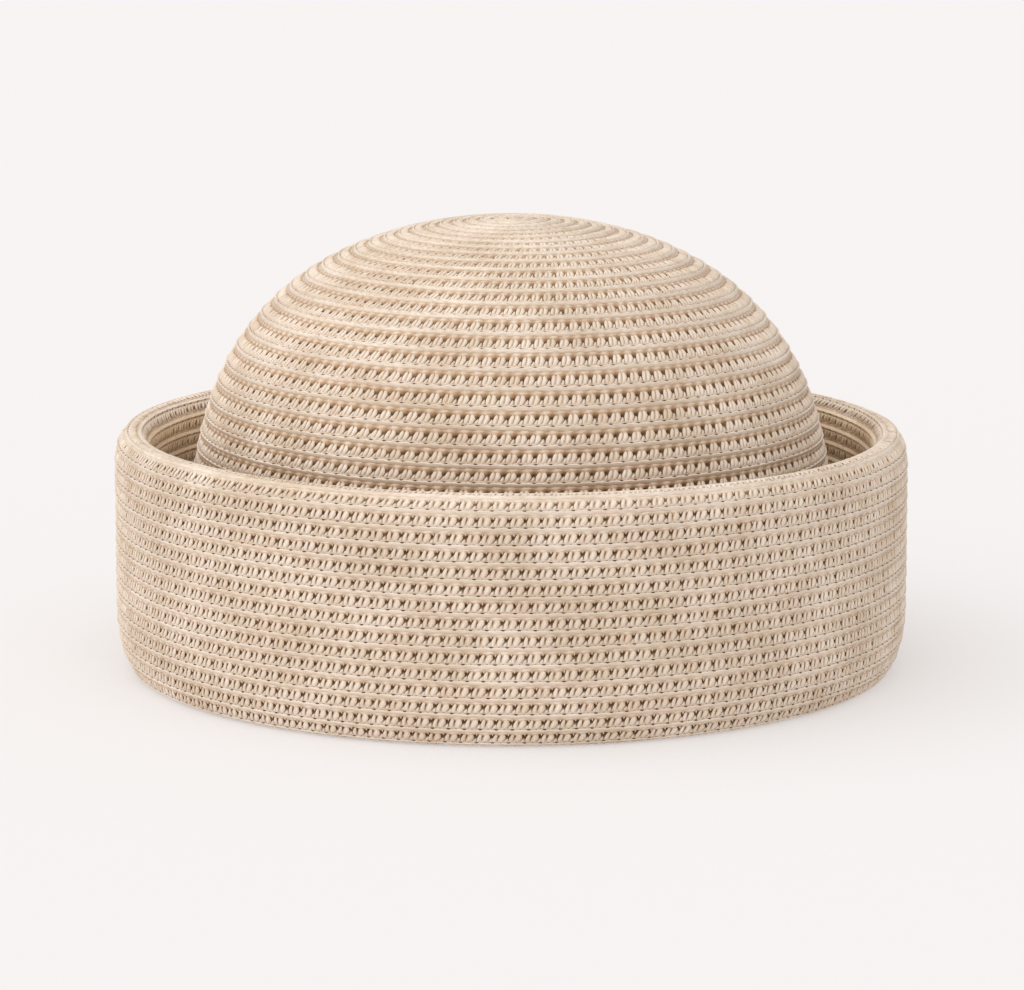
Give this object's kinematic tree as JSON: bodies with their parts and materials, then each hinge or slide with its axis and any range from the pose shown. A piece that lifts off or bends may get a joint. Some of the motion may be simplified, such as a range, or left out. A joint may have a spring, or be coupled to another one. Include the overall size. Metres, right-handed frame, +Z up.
{
  "type": "domed straw hat with a turned-up brim",
  "caption": "Domed crown of sewn straw braid on a brim turned up into a tall cuff with a rolled rim.",
  "frame": {"origin": "on the resting plane, in the middle of the head opening", "axes": "+Z up from the resting plane, +Y along the head from its front to its back, +X to the wearer's left when the front faces -Y"},
  "size_m": [0.2254, 0.2434, 0.1272],
  "materials": {
    "crown_straw": "matte sewn straw braid",
    "brim_straw": "matte sewn straw braid"
  },
  "bodies": {
    "root": {"crown": "crown_straw", "brim": "brim_straw"}
  },
  "joints": []
}
